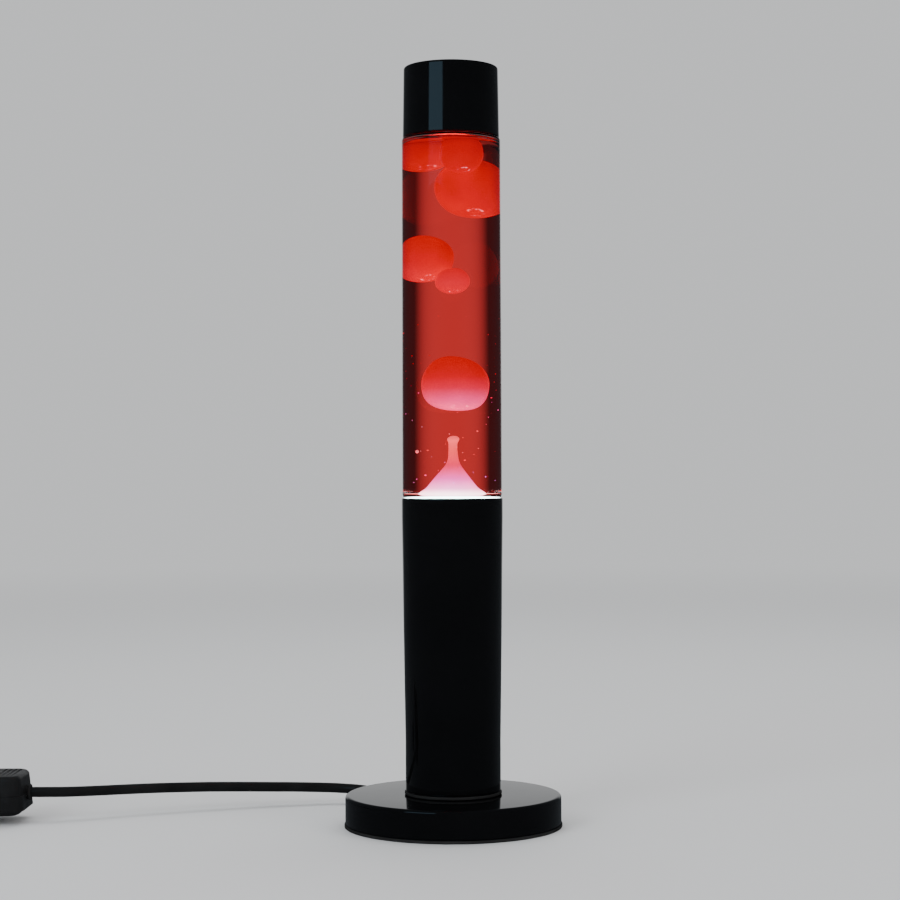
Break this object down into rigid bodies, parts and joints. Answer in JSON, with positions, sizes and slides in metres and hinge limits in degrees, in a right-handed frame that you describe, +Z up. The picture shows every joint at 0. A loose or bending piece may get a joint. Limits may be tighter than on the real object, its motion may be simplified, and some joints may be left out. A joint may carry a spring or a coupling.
{
  "type": "lava lamp",
  "caption": "Tube lava lamp: a clear liquid-filled bottle with drifting wax on a slim gloss-black stem and round base, with a lead, in-line switch and plug.",
  "frame": {"origin": "on the lamp's axis, at the underside of the base pad", "axes": "+Z up the lamp's axis, -Y towards the viewer, the lead leaving at the rear left (-X, +Y)"},
  "size_m": [0.4791, 0.176, 0.4],
  "materials": {
    "gloss_black": "high-gloss black lacquer on spun metal",
    "black_plastic": "fine-grained black moulding",
    "black_rubber": "satin black flexible PVC and rubber",
    "steel": "zinc-plated, turned",
    "iron": "as cast",
    "brass": "bright pressed brass",
    "plated": "nickel-plated brass",
    "solder": "solder blob",
    "tungsten": "drawn tungsten wire",
    "ceramic": "white steatite",
    "glass": "clear, smooth",
    "wax_red": "translucent molten wax, lit from below",
    "wax_hot": "translucent molten wax, glowing pink to cream",
    "wire_brown": "PVC core insulation, brown",
    "wire_blue": "PVC core insulation, blue"
  },
  "bodies": {
    "base": {"base_pad": "black_rubber", "base_cover": "steel", "base_weight": "iron", "base_shell": "gloss_black", "cord_gland": "black_rubber", "stem_gasket": "black_rubber", "stem_shell": "gloss_black", "threaded_tube": "steel", "tube_nut_lower": "steel", "tube_washer": "steel", "tube_nut_upper": "steel", "seat_ring": "steel", "holder_base": "black_plastic", "holder_deck": "ceramic", "holder_skirt": "black_plastic", "holder_screw_shell": "brass", "holder_contact": "brass", "wire_live": "wire_brown", "wire_neutral": "wire_blue", "cord_lead": "black_rubber", "cord_tail": "black_rubber", "cord_coil": "black_rubber", "cord_end": "black_rubber", "plug_body": "black_plastic", "plug_relief": "black_rubber", "plug_pin_left": "plated", "plug_pin_right": "plated", "switch_base": "black_plastic", "switch_cover": "black_plastic", "switch_grommet_in": "black_rubber", "switch_grommet_out": "black_rubber", "switch_screw_1": "steel", "switch_screw_2": "steel", "cover_screw_1": "steel", "cover_screw_2": "steel", "cover_screw_3": "steel", "switch_foot_1": "black_rubber", "switch_foot_2": "black_rubber", "switch_foot_3": "black_rubber", "switch_foot_4": "black_rubber"},
    "bottle": {"bottle_glass": "glass", "bottle_stopper": "black_plastic", "heat_coil": "steel", "wax_mound": "wax_hot"},
    "wax_top": {"wax_top_left": "wax_red", "wax_top_middle": "wax_red", "wax_right": "wax_red"},
    "wax_pair": {"wax_left": "wax_red", "wax_small": "wax_red"},
    "wax_low": {"wax_middle": "wax_red"},
    "cap": {"top_cap": "gloss_black", "cap_insert": "black_plastic"},
    "bulb": {"bulb_envelope": "glass", "bulb_screw_cap": "brass", "bulb_contact": "solder", "bulb_mount": "glass", "bulb_lead_left": "steel", "bulb_lead_right": "steel", "filament": "tungsten"},
    "rocker": {"switch_rocker": "black_plastic"}
  },
  "joints": [
    {"name": "bottle_lift", "type": "slide", "parent": "base", "child": "bottle", "axis": [0, 0, 1], "range_m": [0, 0.06]},
    {"name": "cap_lift", "type": "slide", "parent": "bottle", "child": "cap", "axis": [0, 0, 1], "range_m": [0, 0.045]},
    {"name": "bulb_lift", "type": "slide", "parent": "base", "child": "bulb", "axis": [0, 0, 1], "range_m": [0, 0.0141]},
    {"name": "wax_low_rise", "type": "slide", "parent": "bottle", "child": "wax_low", "axis": [0, 0, 1], "range_m": [-0.012, 0.018]},
    {"name": "wax_pair_rise", "type": "slide", "parent": "bottle", "child": "wax_pair", "axis": [0, 0, 1], "range_m": [-0.012, 0.007]},
    {"name": "wax_top_sink", "type": "slide", "parent": "bottle", "child": "wax_top", "axis": [0, 0, 1], "range_m": [-0.008, 0]},
    {"name": "switch_rock", "type": "hinge", "parent": "base", "child": "rocker", "pos_m": [-0.2642, 0.0185, 0.0226], "axis": [0, 1, 0], "range_deg": [-18, 0]}
  ]
}
